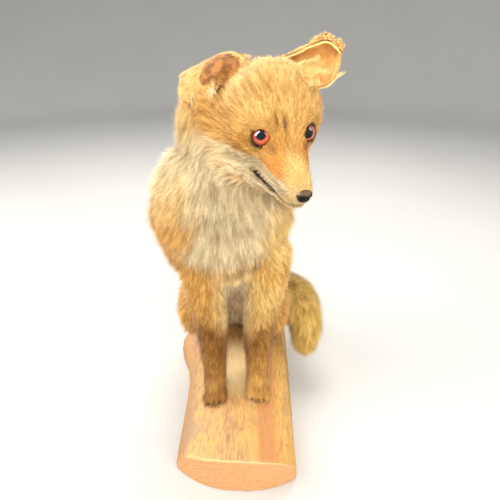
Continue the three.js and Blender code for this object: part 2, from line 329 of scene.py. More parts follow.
class Finish:
    """One material, and short ways to add its nodes. Colours are written as RRGGBB."""

    def __init__(self, name, roughness, specular, **settings):
        self.material = bpy.data.materials.new(name)
        self.material.use_nodes = True
        self.tree = self.material.node_tree
        self.shader = self.tree.nodes["Principled BSDF"]
        settings.update({"Roughness": roughness, "Specular IOR Level": specular})
        for key, value in settings.items():
            self.shader.inputs[key.replace("_", " ")].default_value = value

    def add(self, kind, links=(), **settings):
        node = self.tree.nodes.new("ShaderNode" + kind)
        for key, value in settings.items():
            setattr(node, key, value)
        for key, value in dict(links).items():
            self.feed(node.inputs[key], value)
        return node

    def feed(self, socket, value):
        if isinstance(value, bpy.types.NodeSocket):
            self.tree.links.new(value, socket)
        else:
            socket.default_value = tint(value) if isinstance(value, str) else value

    def read(self, name, output="Fac"):
        return self.add("Attribute", attribute_name=name).outputs[output]

    def place(self):
        return self.add("TexCoord").outputs["Object"]

    def noise(self, source, scale, detail=4.0, roughness=0.55):
        links = {"Vector": source, "Scale": scale, "Detail": detail, "Roughness": roughness}
        return self.add("TexNoise", links).outputs["Fac"]

    def drawn_noise(self, source, scales, detail, roughness=0.55):
        """Noise with its own scale along each axis."""
        drawn = self.add("Mapping", {"Vector": source, "Scale": scales}).outputs[0]
        return self.noise(drawn, 1.0, detail, roughness)

    def sum(self, operation, *values):
        return self.add("Math", {at: values[at] if at < len(values) else 0.0 for at in range(3)},
                        operation=operation).outputs[0]

    def times(self, first, second):
        return self.sum("MULTIPLY", first, second)

    def span(self, value, low, high, start=0.0, end=1.0):
        """Maps a value's range low..high smoothly on start..end."""
        links = {"Value": value, "From Min": low, "From Max": high, "To Min": start, "To Max": end}
        return self.add("MapRange", links, interpolation_type="SMOOTHSTEP").outputs["Result"]

    def blend(self, share, first, second):
        node = self.add("Mix", data_type="RGBA", blend_type="MIX")
        for key, value in (("Factor", share), (6, first), (7, second)):
            self.feed(node.inputs[key], value)
        return node.outputs[2]

    def fade(self, value, low, high, first, second):
        """From the first colour to the second, as the value goes from low to high."""
        return self.blend(self.span(value, low, high), first, second)

    def shade(self, colour, strength):
        """Multiplies a colour by a number."""
        return self.add("VectorMath", {0: colour, "Scale": strength}, operation="SCALE").outputs[0]

    def end(self, colour, height=None, strength=0, distance=0):
        """Sets the colour and any relief, whose depth is in millimetres."""
        self.feed(self.shader.inputs["Base Color"], colour)
        if height is not None:
            links = {"Height": height, "Strength": strength, "Distance": distance * MM}
            self.feed(self.shader.inputs["Normal"], self.add("Bump", links).outputs[0])
        return self.material


# Each marking is laid over those before it: (attribute, lower colour, upper colour).
MARKINGS = (
    ("pale", "D6A65A", "F5D286"),
    ("cream", "CEB084", "EEDAAE"),
    ("warm", "C6752A", "DC923C"),
    ("sock", "6E421C", "A47030"),
    ("toe", "BC8440", "E6B466"),
    ("khaki", "C49C4E", "EEC874"),
    ("dusk", "3B2412", "5A3A20"),
)
COAT_LOW, COAT_HIGH = "B2762E", "E5B062"


def coat_colour(made, root, own):
    """The coat's colour, mixed from its markings; root and own vary it between locks."""
    drift = made.noise(root, 70, 3)
    mottle = made.sum("ADD", made.times(drift, 0.7), made.times(own, 0.45))
    share = made.span(mottle, 0.25, 0.85)
    colour = made.blend(share, COAT_LOW, COAT_HIGH)
    for mark, low, high in MARKINGS:
        over = made.blend(share, low, high)
        colour = made.blend(made.read(mark), colour, over)
    return colour


def coat_material():
    made = Finish("fox_fur", 0.78, 0.18, Sheen_Weight=0.12, Sheen_Roughness=0.5)
    own = made.read("own")
    colour = coat_colour(made, made.read("root", "Vector"), own)
    # each lock is darker at its root and lighter at its tip: partly the hair's own colour, partly
    # painted shade deep in the coat
    rise = made.span(made.read("along"), 0.0, 0.75, 0.56, 1.05)
    vary = made.sum("MULTIPLY_ADD", own, 0.5, 0.76)
    return made.end(made.shade(colour, made.times(rise, vary)))


def skin_material():
    made = Finish("fox_skin", 0.85, 0.15)
    place = made.place()
    strands = made.noise(place, 900, 3)
    # painted shade: the skin takes the coat's colours at 0.62 of their brightness, for the shade deep
    # among the hairs' roots
    colour = made.shade(coat_colour(made, place, strands), 0.62)
    gum = made.fade(strands, 0.45, 0.65, "2A1812", "5E4836")
    return made.end(made.blend(made.read("slit"), colour, gum), strands, 0.6, 0.6)


# ------------ markings and lie of the coat
# Each ramp or bump says where a marking fades, in world or head-frame millimetres.
def head_share(points):
    """1 on the head, fading to 0 down the neck."""
    own = in_head(points)
    spread = np.linalg.norm((own - [0, 18, -4]) / [58, 62, 52], axis=1)
    return 1 - ramp(0.95, 1.3, spread)


def mouth_height(ahead):
    """Height of the mouth line in the head's frame, at a place along the muzzle."""
    return np.interp(ahead, [-52, -47, -40, -34, -28, -18, -8, 3],
                     [-36.0, -39.5, -41.6, -41.2, -40.2, -40.0, -38.8, -36.2])


def markings(points):
    """Shares from 0 to 1 of each marking at world places; skin and coat both use them."""
    own = in_head(points)
    x, y, z = points.T
    across, ahead, high = own.T
    side = np.abs(across)
    head = head_share(points)
    waver = grain(points, (9, 9, 14), 3) * 5
    # bib: throat and chest, wide below the jaw, drawn in to a rounded foot
    middle = np.interp(z, [225, 240, 275, 300, 330, 360], [-8, -12, -2, -2, 0, 0])
    half = np.interp(z, [222, 232, 245, 262, 290, 320, 350, 362, 374],
                     [8, 34, 42, 36, 44, 48, 46, 34, 4])
    bib = ramp(13, -15, np.abs(x - middle) - half + 1.6 * waver) * ramp(216, 242, z + waver)
    bib = bib * ramp(-18, -38, y + 0.15 * np.abs(x - middle)) * (1 - head)
    # cheek, lip and chin: everything on the head below a line from the nose to under the eye
    line = np.interp(ahead, [-50, -38, -27, -17, -7, 14, 34], [-24, -22.5, -24, -22, -18.5, -21, -16])
    cheek = head * ramp(1.5, -3, high - line + waver * 0.5) * ramp(52, 34, ahead)
    cheek = cheek * ramp(2, 9, side + ramp(-20, -36, high) * 12)
    # belly and the insides of the forelegs
    belly = ramp(8, -8, y - 16 - 0.42 * (200 - z)) * ramp(225, 205, z)
    belly = belly * ramp(34, 22, np.abs(x + 4)) * ramp(-66, -56, y) * ramp(60, 72, z)
    inner = sum(bump(x, middle_x - sign * 17, 11) * ramp(112, 160, z)
                for sign, middle_x in zip(SIDES.values(), PAW_X["fore"]))
    inner = inner * ramp(236, 215, z) * ramp(0, -20, y)
    cream = np.clip(np.maximum.reduce([bib, cheek, belly * 0.9, inner * 0.45]), 0, 1)
    # pale neck and shoulder beside the bib
    pale = bump(z, 340, 42) * ramp(22, 40, np.abs(x + 2)) * ramp(30, -20, y) * (1 - head)
    cream = np.maximum(cream, pale * 0.8 * ramp(370, 350, z))
    pale = np.maximum(pale, bump(z, 255, 36) * ramp(24, 36, x) * ramp(-20, -45, y) * 0.8)
    pale = np.maximum(pale, bump(z, 190, 30) * ramp(8, 18, x) * ramp(-20, -40, y) * 0.6)
    pale = np.maximum.reduce([np.clip(pale * 1.4, 0, 1), inner * 0.8, belly * 0.9])
    brow = head * ramp(-8, 12, high) * ramp(-14, -2, ahead)
    pale = np.maximum(pale, brow * (0.45 - 0.3 * bump(high, 8, 9)))
    pale = np.maximum(pale, head * ramp(20, 8, side) * ramp(-8, -28, ahead))
    # orange sides of the muzzle and a wash between the eyes
    warm = head * bump(side, 16, 9) * bump(ahead, -20, 15) * ramp(-27, -20, high)
    warm = np.maximum(warm, head * bump(side, 16, 7) * bump(ahead, -8, 8) * bump(high, -10, 8) * 0.8)
    # brown socks, deepest at the wrist, with tan toes
    legs = ramp(-20, -34, y) * ramp(60, 48, np.abs(x))
    above = above_log(points)
    sock = legs * ramp(186, 140, z + waver * 2.5) * (1 - inner * ramp(120, 150, z))
    sock = sock * (0.5 + 0.4 * bump(z, 134, 26) + 0.28 * ramp(5, -5, x) + 0.12 * waver / 5)
    toe = legs * ramp(34, 20, above) * ramp(-60, -70, y)
    toe = np.maximum(toe, legs * bump(above, 34, 12) * 0.35) * (1 - 0.85 * ramp(5, -5, x))
    khaki = ramp(52, 66, x + 0.25 * (y - 60)) * ramp(-6, 4, y)
    khaki = khaki * ramp(150, 128, z) * ramp(118, 84, y)
    # dark hairs: forehead streaks and the inner corners of the eyes; painted shade in the crease under
    # the bib and on the chest below the jaw
    streak = bump(across + 0.12 * high, -3.2, 1.9) * bump(high, 11, 6.5)
    streak = np.maximum(streak, bump(across + 0.2 * high, -9.6, 1.6) * bump(high, 14, 5.5) * 0.75)
    streak = np.maximum(streak, bump(across, 5.5, 1.8) * bump(high, 12, 6) * 0.4)
    streak = head * streak * ramp(20, 0, ahead) * (0.75 + 0.5 * grain(points, (2, 2, 5), 12))
    # painted shade: a dark line in the crease where the chest's lower edge meets the belly
    crease_shade = bump(z, 224 + 0.35 * (x - 4), 4) * ramp(26, 12, np.abs(x - 8))
    crease_shade = crease_shade * ramp(-50, -66, y)
    # painted shade: the chest darkened below the jaw, where the head shades it
    shadow = 0.26 * bump(z, 294, 36) * bump(x, -6, 30) * bib
    dusk = np.clip(np.maximum.reduce([streak, eye_rim(own), crease_shade * 0.5, shadow]), 0, 1)
    return {"pale": pale, "cream": cream, "warm": warm, "sock": sock, "toe": toe,
            "khaki": khaki, "dusk": dusk}


def eye_line(turns, sign):
    """A direction from an eye, given degrees outwards and upwards, in the head's frame."""
    out, up = (math.radians(degrees) for degrees in turns[sign])
    return np.array([sign * math.sin(out) * math.cos(up), -math.cos(out) * math.cos(up), math.sin(up)])


def eye_axes(sign):
    """The socket's line of sight, and the directions from it to the nose and upwards."""
    line = eye_line(SOCKET_TURN, sign)
    inward = unit(np.cross([0, 0, 1], line) * -sign)
    return line, inward, np.cross(inward, line) * sign


def eye_angles(own, sign):
    """For places in the head's frame: distance from an eye's middle, angle from its line of
    sight, and the turn about it, 0 towards the nose and a quarter turn upwards."""
    offset = own - EYE_PLACE[sign]
    far = size_of(offset)
    line, inward, upward = eye_axes(sign)
    off = np.degrees(np.arccos(np.clip(offset @ line / np.maximum(far, 1e-6), -1, 1)))
    return far, off, np.arctan2(offset @ upward, offset @ inward)


def lid_opening(turn, sign):
    """Degrees from the socket's axis to the lids' edge, all round the eye."""
    reach = np.array(LID_REACH[sign] + LID_REACH[sign][:1], float)
    eighth = (turn / (math.pi / 4)) % 8
    low = np.floor(eighth).astype(int) % 8
    share = eased(eighth - np.floor(eighth))
    corner = bump(np.angle(np.exp(1j * (turn + 0.5))), 0, 0.3)
    return reach[low] * (1 - share) + reach[low + 1] * share + 6 * corner


def eye_rim(own):
    """Dark edge round each eye, and the dusky hollow at its inner and lower side."""
    total = np.zeros(len(own))
    for sign in SIDES.values():
        far, off, turn = eye_angles(own, sign)
        opening = lid_opening(turn, sign)
        edge = ramp(EYE_RADIUS + 5, EYE_RADIUS + 3, far) * bump(off, opening + 2.5, 2.5) * 0.48
        near = ramp(EYE_RADIUS + 9, EYE_RADIUS + 5, far)
        tear = np.exp(-np.sum(((own - [sign * 16.1, -8.3, -6.6]) / [4.5, 6.5, 4]) ** 2, axis=1))
        lower = ramp(0.1, -0.7, np.sin(turn)) * bump(off, opening + 15, 9) * 0.4
        upper = ramp(0.5, 1, np.sin(turn)) * bump(off, opening + 14, 3) * 0.2
        total = np.maximum.reduce([total, edge, near * lower, near * upper, tear * 0.7])
    return np.clip(total, 0, 1)


def lie(points, outward, part):
    """The way the hairs lie at each place, along the surface."""
    own = in_head(points)
    x, y, _ = points.T
    back = unit(own - [0, -54, -26])
    back[:, 2] -= 0.35 * ramp(-10, -30, own[:, 2])
    back[:, 0] += 0.25 * np.sign(own[:, 0]) * ramp(0, 20, own[:, 1])
    down = columns((x + 6) * 0.006, 0.3 * ramp(-40, 40, y), -np.ones(len(x)))
    head = head_share(points)[:, None]
    way = unit(back) @ HEAD_TURN.T * head + unit(down) * (1 - head)
    on_tail = on(part, "tail")
    foot = (ramp(30, 12, above_log(points)) * ~on_tail)[:, None]
    way = way * (1 - foot) + np.array([0, -1.0, -0.35]) * foot
    way = np.where(on_tail[:, None], tail_way(points), way)
    swirl = columns(*(grain(points, 16, seed) for seed in (5, 6, 7)))
    return along(way + swirl * 0.22, outward)


def tail_line(steps=60):
    """Places along the tail's middle, and the way it runs at each."""
    stations = np.array(TAIL_STATIONS, float)
    knots = np.arange(len(stations))
    fine = np.linspace(0, knots[-1], steps)
    line = columns(*(np.interp(fine, knots, column) for column in stations.T))
    for _ in range(8):
        line[1:-1] = (line[:-2] + 2 * line[1:-1] + line[2:]) / 4
    return line, unit(np.gradient(line, axis=0))


def tail_way(points):
    """The tail's own direction beside each place, leaning outwards."""
    line, ways = tail_line()
    near = np.argmin(np.linalg.norm(points[:, None] - line[None], axis=2), axis=1)
    end = ramp(0.86, 1.0, near / (len(line) - 1))[:, None]
    return unit(ways[near] + unit(points - line[near]) * (0.25 + 0.9 * end))


# ------------ skin
def softened(values, pairs, share):
    """Values moved by a share towards the mean of their neighbours along the edges."""
    count = len(values)
    total = np.zeros((count, values.shape[1]))
    for axis in range(values.shape[1]):
        total[:, axis] = (np.bincount(pairs[:, 0], values[pairs[:, 1], axis], count)
                          + np.bincount(pairs[:, 1], values[pairs[:, 0], axis], count))
    links = np.bincount(pairs.ravel(), minlength=count)
    return (1 - share) * values + share * (total / np.maximum(links, 1)[:, None])


def edge_pairs(piece):
    return rows_of(piece.data.edges, "vertices", 2, np.int32)


def part_finder():
    """Tells which flesh node lies nearest to each place."""
    corners, faces, owner = [], [], []
    start = 0
    for index, node in enumerate(FLESH):
        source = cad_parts[node]
        points, tris = places(source), triangles(source)
        corners.append(points)
        faces.append(tris + start)
        owner += [index] * len(tris)
        start += len(points)
    tree = BVHTree.FromPolygons(np.concatenate(corners).tolist(), np.concatenate(faces).tolist())
    owner = np.array(owner)
    return lambda points: owner[nearest(tree, points)[2]]


DEPTH_SOFTENINGS = 25  # rounds that blend the depth from one node to the next
SHRINK_STEPS = 4
# Coat depth (mm) on each flesh node, before it is graded over face and feet.
DEPTHS = {"trunk": 3.6, "neck": 2.6, "head": 2.2, "lower_jaw": 1.2, "foreleg_left": 1.3,
          "foreleg_right": 1.3, "hindleg_left": 3.2, "hindleg_right": 3.2, "tail": 5.5}


def coat_depth(points, part):
    """How far inside the flesh nodes the skin lies, in millimetres."""
    own = in_head(points)
    depth = np.array([DEPTHS[node] for node in FLESH])[part]
    face = on(part, "head") * ramp(30, 2, own[:, 1])
    depth = depth * (1 - face) + (1.3 - 0.4 * ramp(-20, -40, own[:, 1])) * face
    cheek = on(part, "head") * bump(own[:, 1], 28, 14) * ramp(-8, -26, own[:, 2])
    chest = on(part, "trunk") * ramp(-30, -60, points[:, 1]) * bump(points[:, 2], 270, 50)
    depth = depth + 1.6 * cheek + 1.0 * chest
    foot = ramp(40, 16, above_log(points)) * ~on(part, "tail")
    depth = depth * (1 - foot) + 0.5 * foot
    return depth + 1.0 * on(part, "foreleg_left", "foreleg_right") * ramp(160, 215, points[:, 2])


def make_skin():
    skin = copy_of(FLESH, "skin")
    edit(skin)
    bpy.ops.transform.shrink_fatten(value=CLOSING * MM)
    done()
    modify(skin, "REMESH", mode="VOXEL", voxel_size=SKIN_VOXEL * MM)
    points, pairs = places(skin), edge_pairs(skin)
    find_part = part_finder()
    depth = coat_depth(points, find_part(points))[:, None]
    for _ in range(DEPTH_SOFTENINGS):
        depth = softened(depth, pairs, 0.6)
    for _ in range(SHRINK_STEPS):
        points = points - normals(skin) * (depth + CLOSING) / SHRINK_STEPS
        points = softened(points, pairs, 0.45) + normals(skin) * 0.04
        put_places(skin, points)
    dent = bump(size_of(points - EAR_HOLLOW), 0, 17)
    put_places(skin, points - normals(skin) * (12 * dent)[:, None])
    refine_face(skin)
    carve_face(skin)
    carve_feet(skin)
    smooth_shaded(skin)
    points = places(skin)
    for mark, values in markings(points).items():
        note(skin, mark, values)
    return skin, find_part(points)


def refine_face(skin):
    """Splits the faces of the muzzle and round the eyes, for lids and lips."""
    own = in_head(places(skin))
    near = (own[:, 1] < 12.5) & (np.abs(own[:, 0]) < 40) & (own[:, 2] > -60) & (own[:, 2] < 22)
    edit(skin, "DESELECT")
    done()
    polygons = skin.data.polygons
    flags = np.array([near[list(polygon.vertices)].all() for polygon in polygons])
    polygons.foreach_set("select", flags)
    bpy.ops.object.mode_set(mode="EDIT")
    bpy.ops.mesh.select_mode(type="FACE")
    bpy.ops.mesh.subdivide(number_cuts=3, smoothness=0)
    bpy.ops.mesh.select_all(action="SELECT")
    bpy.ops.mesh.quads_convert_to_tris()
    done()


def carve_face(skin):
    """Lids, sockets, brows, whisker pads, a hollow below each eye and the mouth, as strokes on the
    face.
    """
    points = places(skin)
    outward = normals(skin)
    own = in_head(points)
    across, ahead, high = own.T
    side = np.abs(across)
    turned = outward @ HEAD_TURN
    push = np.zeros(len(points))
    # brow ridges, the stop between the eyes and a hollow below each eye
    push += 1.0 * bump(side, 19, 7) * bump(high, 11.5, 4) * bump(ahead, 2, 9)
    push -= 1.2 * bump(side, 0, 5) * bump(ahead, -4, 7) * ramp(-20, 0, high)
    push -= 0.9 * bump(side, 16, 5) * bump(high, -11, 4) * bump(ahead, -12, 6)
    # whisker pads swell beside the nose
    push += 0.9 * bump(side, 9, 5) * bump(ahead, -40, 7) * bump(high, -31, 5)
    # the mouth: a fine line in front, a narrow open gap behind
    line = high - mouth_height(ahead)
    gap = ramp(-30, -20, ahead) * ramp(5, 0, ahead)
    wide = 0.9 + 1.2 * gap
    reach = ramp(-54, -50, ahead) * ramp(6, 2, ahead)
    deep = 1.0 + 3.4 * gap
    slit = np.exp(-(line / wide) ** 2) * reach * (np.abs(turned[:, 2]) < 0.93)
    slit = slit * ramp(2, 7, side + ramp(-40, -46, ahead) * 20)
    push -= deep * slit
    push += 0.7 * reach * (bump(line, 2.6 + 1.2 * gap, 1.5) + bump(line, -2.6 - 1.2 * gap, 1.4))
    moved = own + turned * push[:, None] * head_share(points)[:, None]
    for sign in SIDES.values():
        far, off, turn = eye_angles(moved, sign)
        offset = moved - EYE_PLACE[sign]
        opening = lid_opening(turn, sign)
        beside = far < EYE_RADIUS + 9
        inside = beside & (off < opening + 1)
        target = np.where(inside, EYE_RADIUS - 2.0, far)
        ridge = EYE_RADIUS + 0.4 + 1.3 * bump(off, opening + 11, 8)
        lid = beside & ~inside & (off < opening + 28)
        fade = ramp(opening + 28, opening + 7, off)
        raised = np.maximum(far * (1 - fade) + ridge * fade, EYE_RADIUS + 0.4)
        target = np.where(lid, raised, target)
        moved = EYE_PLACE[sign] + offset * (target / np.maximum(far, 1e-6))[:, None]
    put_places(skin, from_head(moved))
    note(skin, "slit", np.clip(slit * 1.4, 0, 1))


def toe_lines(points):
    """Depth share of the grooves between the toes, for the places on a paw."""
    x, y, _ = points.T
    total = np.zeros(len(points))
    for _, middle, half, tip in paws():
        here = ramp(tip + 24, tip + 14, y) * (np.abs(x - middle) < half + 4) * (y < tip + 30)
        for gap in (-1, 0, 1):
            total += here * bump(x, middle + gap * half * TOE_SPACING, 1.5)
    return np.clip(total, 0, 1)


def carve_feet(skin):
    """Toe grooves, and the right forepaw set ahead of the left."""
    points = places(skin)
    above = above_log(points)
    depth = 3.0 * toe_lines(points) * ramp(24, 14, above)
    points = points - normals(skin) * depth[:, None]
    ahead = ramp(34, 12, above) * ramp(-58, -76, points[:, 1]) * ramp(-4, -14, points[:, 0])
    points[:, 1] -= PAW_AHEAD * ahead
    put_places(skin, points)


# ------------ coat
def scatter(points, tris, weight, count, rng):
    """Roots spread evenly over the skin, more of them where the weight is greater."""
    corner = points[tris]
    area = size_of(np.cross(corner[:, 1] - corner[:, 0], corner[:, 2] - corner[:, 0]))
    total = np.cumsum(area * weight[tris].mean(axis=1))
    pick = np.searchsorted(total, (np.arange(count) + rng.random(count)) / count * total[-1])
    pick = np.minimum(pick, len(tris) - 1)
    share = rng.random((count, 2))
    over = share.sum(axis=1) > 1
    share[over] = 1 - share[over]
    return pick, np.column_stack([1 - share.sum(axis=1), share])


def weighted(corners, weights):
    return (corners * weights[:, :, None]).sum(axis=1)


def gathered(values, tris, pick, weights):
    return weighted(values[tris[pick]], weights)


def drawn_together(roots, tips, strength, rng):
    """Pulls each hair's tip towards the tip of a nearby leader, so hairs form locks."""
    count = len(roots)
    leaders = rng.choice(count, max(1, int(count * LEADERS)), replace=False)
    tree = KDTree(len(leaders))
    for index, place in enumerate(roots[leaders].tolist()):
        tree.insert(place, index)
    tree.balance()
    chosen = leaders[[tree.find(place)[1] for place in roots.tolist()]]
    return (tips[chosen] - tips) * strength, chosen


def streaks(roots, way, cell, reach, seed):
    """A tone from 0 to 1 for each hair, drawn out along the coat so hairs in a streak share it."""
    total = sum(grain(roots + way * step, cell, seed) for step in np.linspace(-reach, reach, 9))
    return np.argsort(np.argsort(total)) / len(total)


def build_locks(name, roots, outward, way, length, width, lift, patch, rng, clump=0.5,
                taper=(0.85,), marks=None, cell=1.3, over=None):
    """Closed three-sided spikes, one to a lock, joined in one mesh.

    `patch` holds each root's place on the skin's unwrap, `taper` the width at each ring and
    `over` a tree that the tips must clear; lengths are in millimetres.
    """
    count, rings = len(roots), len(taper)
    side = unit(np.cross(way, outward))
    steps = np.linspace(0, 1, rings + 1)
    rise = np.sin(lift)[:, None] * steps * (1.25 - 0.45 * steps)
    run = np.cos(lift)[:, None] * steps
    spine = (roots[:, None] - outward[:, None] * SUNK
             + way[:, None] * (run * length[:, None])[:, :, None]
             + outward[:, None] * (rise * length[:, None])[:, :, None])
    pull, leader = drawn_together(roots, spine[:, -1], clump, rng)
    far = size_of(pull)
    pull = pull * np.minimum(1, LONGEST_PULL * length / np.maximum(far, 1e-6))[:, None]
    spine = spine + pull[:, None] * (steps ** 1.6)[None, :, None]
    if over is not None:
        below, facing, _ = nearest(over, spine[:, -1])
        short = TIP_CLEAR + TIP_CLEAR_SHARE * length - np.sum((spine[:, -1] - below) * facing, axis=1)
        spine[:, -1] += facing * np.maximum(short, 0)[:, None]

    verts, hair_normals, alongs, across = [], [], [], []
    for ring in range(rings):
        half = (width * taper[ring] / 2)[:, None]
        centre = spine[:, ring]
        verts += [centre - side * half, centre + side * half, centre + outward * (half * 0.8)]
        hair_normals += [unit(outward - side * 0.45), unit(outward + side * 0.45), outward]
        alongs += [steps[ring]] * 3
        across += [-0.5, 0.5, 0.0]
    verts.append(spine[:, -1])
    hair_normals.append(unit(outward + way * 0.25))
    alongs.append(1.0)
    across.append(0.0)
    per = 3 * rings + 1
    tip = per - 1
    faces = [(0, 1, 2)]
    for ring in range(rings - 1):
        a, b, c = (3 * ring + k for k in range(3))
        d, e, f = (3 * ring + 3 + k for k in range(3))
        faces += [(a, d, e), (a, e, b), (b, e, f), (b, f, c), (c, f, d), (c, d, a)]
    a, b, c = (3 * (rings - 1) + k for k in range(3))
    faces += [(a, tip, b), (b, tip, c), (c, tip, a)]
    faces = np.array(faces)
    mesh = bpy.data.meshes.new(name)
    piece = bpy.data.objects.new(name, mesh)
    bpy.context.collection.objects.link(piece)
    points = np.stack(verts, axis=1).reshape(-1, 3)
    corners = (faces[None] + (np.arange(count) * per)[:, None, None]).reshape(-1, 3)
    mesh.vertices.add(len(points))
    mesh.loops.add(corners.size)
    mesh.polygons.add(len(corners))
    mesh.vertices.foreach_set("co", (points * MM).astype(np.float32).ravel())
    mesh.loops.foreach_set("vertex_index", corners.astype(np.int32).ravel())
    mesh.polygons.foreach_set("loop_start", np.arange(0, corners.size, 3, dtype=np.int32))
    mesh.polygons.foreach_set("use_smooth", np.ones(len(corners), bool))
    mesh.update(calc_edges=True)
    mesh.normals_split_custom_set_from_vertices(np.stack(hair_normals, axis=1).reshape(-1, 3))
    # each lock is a small patch at the spot given for its root
    local = columns(across, np.array(alongs) - 0.5) * PATCH
    local[2::3, 1] += 0.08 * PATCH
    local[-1, 1] = 0.5 * PATCH
    spots = (patch[:, None] + local[None]).reshape(-1, 2)
    layer = mesh.uv_layers.new(name="OFBake")
    layer.data.foreach_set("uv", spots[corners.ravel()].astype(np.float32).ravel())
    note(piece, "along", np.tile(alongs, count))
    tone = 0.62 * streaks(roots, way, cell, cell * 3.6, 41) + 0.2 * rng.random(count)[leader]
    note(piece, "own", np.repeat(tone + 0.18 * rng.random(count), per))
    note(piece, "root", np.repeat(roots * MM, per, axis=0))
    shown = roots + way * (0.6 * length)[:, None]
    for mark, values in (marks or markings(shown)).items():
        note(piece, mark, np.repeat(values, per))
    return piece


def unwrap_of(skin):
    """Unwraps a light copy of the skin; returns a function from places to spots on it."""
    hold(skin)
    bpy.ops.object.duplicate()
    light = named("unwrap")
    modify(light, "DECIMATE", ratio=0.06)
    edit(light)
    bpy.ops.uv.smart_project(angle_limit=math.radians(60), island_margin=0.004)
    done()
    points, tris, tree = places(light), triangles(light), tree_of(light)
    loops = rows_of(light.data.loop_triangles, "loops", 3, np.int32)
    spots = rows_of(light.data.uv_layers.active.data, "uv", 2)[loops]
    bpy.data.objects.remove(light)

    def spot_at(roots):
        near, _, index = nearest(tree, roots)
        a, b, c = (points[tris[index, k]] for k in range(3))
        normal = np.cross(b - a, c - a)
        size = np.maximum((normal ** 2).sum(axis=1), 1e-12)
        second = (np.cross(near - a, c - a) * normal).sum(axis=1) / size
        third = (np.cross(b - a, near - a) * normal).sum(axis=1) / size
        return weighted(spots[index], columns(1 - second - third, second, third))

    return spot_at


def bare_share(points):
    """1 where no hair grows: eyes, lids' edges, nose and the left ear's sunk root."""
    own = in_head(points)
    bare = ramp(15, 10, size_of(points - EAR_HOLLOW - [-8, -1, -4]))
    for sign in SIDES.values():
        far, off, turn = eye_angles(own, sign)
        edge = lid_opening(turn, sign)
        bare = np.maximum(bare, (far < EYE_RADIUS + 2.5) * ramp(edge + 4, edge + 1, off))
    return np.maximum(bare, ramp(1.1, 0.95, size_of((own - NOSE_MIDDLE) / (NOSE_HALF + 0.9))))


def make_coat(skin, part, material):
    points, tris, outward = places(skin), triangles(skin), normals(skin)
    spot_at = unwrap_of(skin)
    head = on(part, "head", "lower_jaw")
    face = head & (in_head(points)[:, 1] < FACE_END)
    chest = on(part, "trunk") & (points[:, 1] < CHEST_END)
    back = on(part, "trunk") & ~chest
    fore, hind = (on(part, f"{leg}_left", f"{leg}_right") for leg in ("foreleg", "hindleg"))
    bare = np.maximum(bare_share(points), ramp(0.55, 0.95, noted(skin, "slit")))
    # each piece: name, slot, where it grows, how many locks, their lengths and width (mm),
    # lift (degrees) and how fine its streaks are (mm)
    pieces = [
        ("coat_face", "coat", face, 44000, (2.6, 6.4), 0.5, 20, 0.9),
        ("coat_crown", "coat", head & ~face, 40000, (6.5, 10.5), 0.6, 23, 1.2),
        ("coat_neck", "coat", on(part, "neck"), 42000, (12, 16), 0.68, 25, 1.7),
        ("coat_chest", "pale_coat", chest, 42000, (12, 17), 0.68, 23, 1.8),
        ("coat_back_left", "coat", back & (points[:, 0] > 0), 33000, (11, 15), 0.79, 24, 1.8),
        ("coat_back_right", "coat", back & (points[:, 0] <= 0), 33000, (11, 15), 0.79, 24, 1.8),
        ("coat_forelegs", "sock", fore, 40000, (5.8, 10), 0.54, 24, 1.2),
        ("coat_hindlegs", "coat", hind, 37000, (5, 12), 0.63, 23, 1.5),
        ("coat_tail", "brush", on(part, "tail"), 38000, (15, 21), 0.62, 38, 1.6),
    ]
    tree = tree_of(skin)
    rng = np.random.default_rng(11)
    for name, slot, covered, count, (shortest, longest), width, lift, cell in pieces:
        pick, weights = scatter(points, tris, covered * (1 - bare), count, rng)
        roots = gathered(points, tris, pick, weights)
        normal = unit(gathered(outward, tris, pick, weights))
        root_part = part[tris[pick, 0]]
        way = lie(roots, normal, root_part)
        full = length_share(roots, name)
        length = (shortest + (longest - shortest) * full) * rng.uniform(0.75, 1.2, count)
        angle = np.radians(lift * rng.uniform(0.6, 1.35, count))
        wide = width * (0.7 + 0.3 * full) * rng.uniform(0.75, 1.3, count)
        # guard hairs are longer, thinner and steeper than the rest
        guard = rng.random(count) < (0.08 if name == "coat_face" else 0.2)
        longer, steeper = (1.2, 1.9) if name in ("coat_face", "coat_tail") else (1.3, 2.1)
        length, wide, angle = (values * np.where(guard, factor, 1) for values, factor
                               in ((length, longer), (wide, 0.7), (angle, steeper)))
        way = unit(way + np.cross(way, normal) * rng.normal(0, 0.14, count)[:, None])
        over = tree if name in ("coat_face", "coat_crown") else None
        piece = build_locks(name, roots, normal, way, length, wide, angle, spot_at(roots), rng,
                            cell=cell, over=over)
        finish(piece, material)


def length_share(roots, name):
    """0 where the piece's hair is shortest and 1 where it is longest."""
    own = in_head(roots)
    above = above_log(roots)
    if name == "coat_face":
        eyes = np.min([size_of(own - EYE_PLACE[sign]) for sign in SIDES.values()], axis=0)
        long = ramp(-46, 14, own[:, 1]) * (0.5 + 0.5 * ramp(-4, 20, own[:, 1]))
        return long * (0.25 + 0.75 * ramp(EYE_RADIUS + 1, EYE_RADIUS + 9, eyes))
    if name == "coat_crown":
        return ramp(-4, -24, own[:, 2])
    if name == "coat_forelegs":
        return ramp(20, 150, above)
    if name == "coat_hindlegs":
        return ramp(12, 50, above)
    return 0.5 + 0.5 * grain(roots, 30, 9)


# ------------ eyes, lids and nose
def eye_material():
    made = Finish("glass_eye", 0.05, 0.6, Coat_Weight=0.4, Coat_Roughness=0.05)
    off = made.read("off")
    flecks = made.noise(made.place(), 900, 3)
    iris = made.blend(made.read("lit"), "5A2014", "C86440")
    iris = made.blend(made.span(flecks, 0.35, 0.7, 0.0, 0.35), iris, "A84A30")
    iris = made.fade(off, 44, 66, iris, "6E2416")
    colour = made.fade(off, 30, 32, "0A0707", iris)
    return made.end(made.fade(off, 70, 75, colour, "2A1510"))


